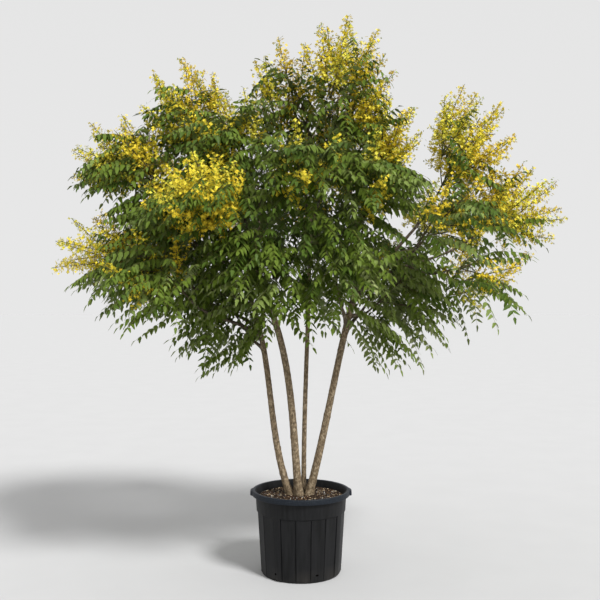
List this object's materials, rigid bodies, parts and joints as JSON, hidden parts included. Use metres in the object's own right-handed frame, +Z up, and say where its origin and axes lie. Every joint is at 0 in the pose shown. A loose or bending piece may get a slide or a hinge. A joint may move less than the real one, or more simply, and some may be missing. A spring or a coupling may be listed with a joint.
{
  "type": "potted golden rain tree",
  "caption": "Young multi-stemmed golden rain tree in flower, in a round black nursery pot, with slender stems, spreading boughs, masses of compound leaves and upright yellow panicles.",
  "frame": {"origin": "middle of the pot's flat underside, on the surface that the pot stands on", "axes": "+Z up, +X to the right of the picture's view, +Y away from it; the front faces -Y"},
  "size_m": [2.6736, 1.658, 2.8838],
  "materials": {
    "pot": "satin",
    "potting_mix": "matte",
    "bark": "matte",
    "young_bark": "matte",
    "leaves": "satin",
    "blossom": "matte"
  },
  "bodies": {
    "root": {"bough_back_centre": "young_bark", "bough_back_left": "young_bark", "bough_back_left_low": "young_bark", "bough_back_right": "young_bark", "bough_back_right_low": "young_bark", "bough_back_top": "young_bark", "bough_core": "young_bark", "bough_far_left": "young_bark", "bough_far_right": "young_bark", "bough_front_centre": "young_bark", "bough_front_centre_low": "young_bark", "bough_front_left": "young_bark", "bough_front_left_low": "young_bark", "bough_front_middle_low": "young_bark", "bough_front_right": "young_bark", "bough_leader": "young_bark", "bough_leader_front": "young_bark", "bough_leader_right": "young_bark", "bough_left_hanging": "young_bark", "bough_left_side": "young_bark", "bough_left_spire": "young_bark", "bough_middle_top": "young_bark", "bough_right_hanging": "young_bark", "bough_right_low": "young_bark", "bough_right_top": "young_bark", "bough_upper_left": "young_bark", "foliage_back_centre": "leaves", "foliage_back_left": "leaves", "foliage_back_left_low": "leaves", "foliage_back_right": "leaves", "foliage_back_right_low": "leaves", "foliage_back_top": "leaves", "foliage_core": "leaves", "foliage_far_left": "leaves", "foliage_far_right": "leaves", "foliage_front_centre": "leaves", "foliage_front_centre_low": "leaves", "foliage_front_left": "leaves", "foliage_front_left_low": "leaves", "foliage_front_middle_low": "leaves", "foliage_front_right": "leaves", "foliage_leader": "leaves", "foliage_leader_front": "leaves", "foliage_leader_right": "leaves", "foliage_left_hanging": "leaves", "foliage_left_side": "leaves", "foliage_left_spire": "leaves", "foliage_middle_top": "leaves", "foliage_right_hanging": "leaves", "foliage_right_low": "leaves", "foliage_right_top": "leaves", "foliage_slender_spire": "leaves", "foliage_upper_left": "leaves", "pot": "pot", "soil": "potting_mix", "stem_left": "bark", "stem_middle": "bark", "stem_right": "bark", "stem_slender": "bark"}
  },
  "joints": []
}
